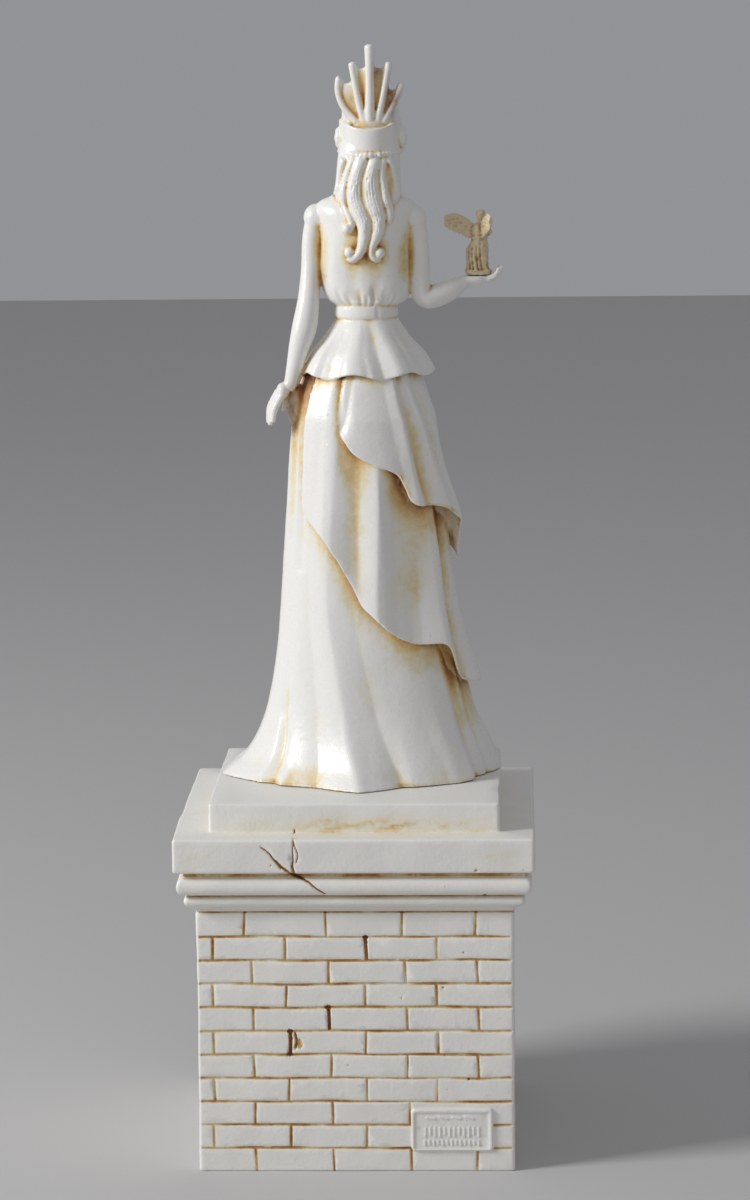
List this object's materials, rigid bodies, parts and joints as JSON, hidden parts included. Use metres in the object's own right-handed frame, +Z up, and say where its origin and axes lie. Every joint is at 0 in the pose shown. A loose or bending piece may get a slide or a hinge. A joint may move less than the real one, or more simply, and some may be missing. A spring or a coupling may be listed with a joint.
{
  "type": "resin statue",
  "caption": "Cast resin statue of a crowned goddess in layered robes, a small winged figurine on her raised palm, standing on a square brick-pattern plinth.",
  "frame": {"origin": "centre of the plinth's underside", "axes": "+Z up through the statue; the goddess faces -Y and her left hand is on the +X side, so the pictured back is the +Y side"},
  "size_m": [0.1, 0.1, 0.3116],
  "materials": {
    "figure_resin": "ivory paint in a soft satin sheen, with an ochre and tan wash left in the hollows",
    "figurine_resin": "ivory paint under a heavy tan wash, matte",
    "plinth_resin": "ivory paint, near matte, with brown wash in the brick joints"
  },
  "bodies": {
    "root": {"goddess_figure": "figure_resin", "winged_figurine": "figurine_resin", "plinth": "plinth_resin"}
  },
  "joints": []
}
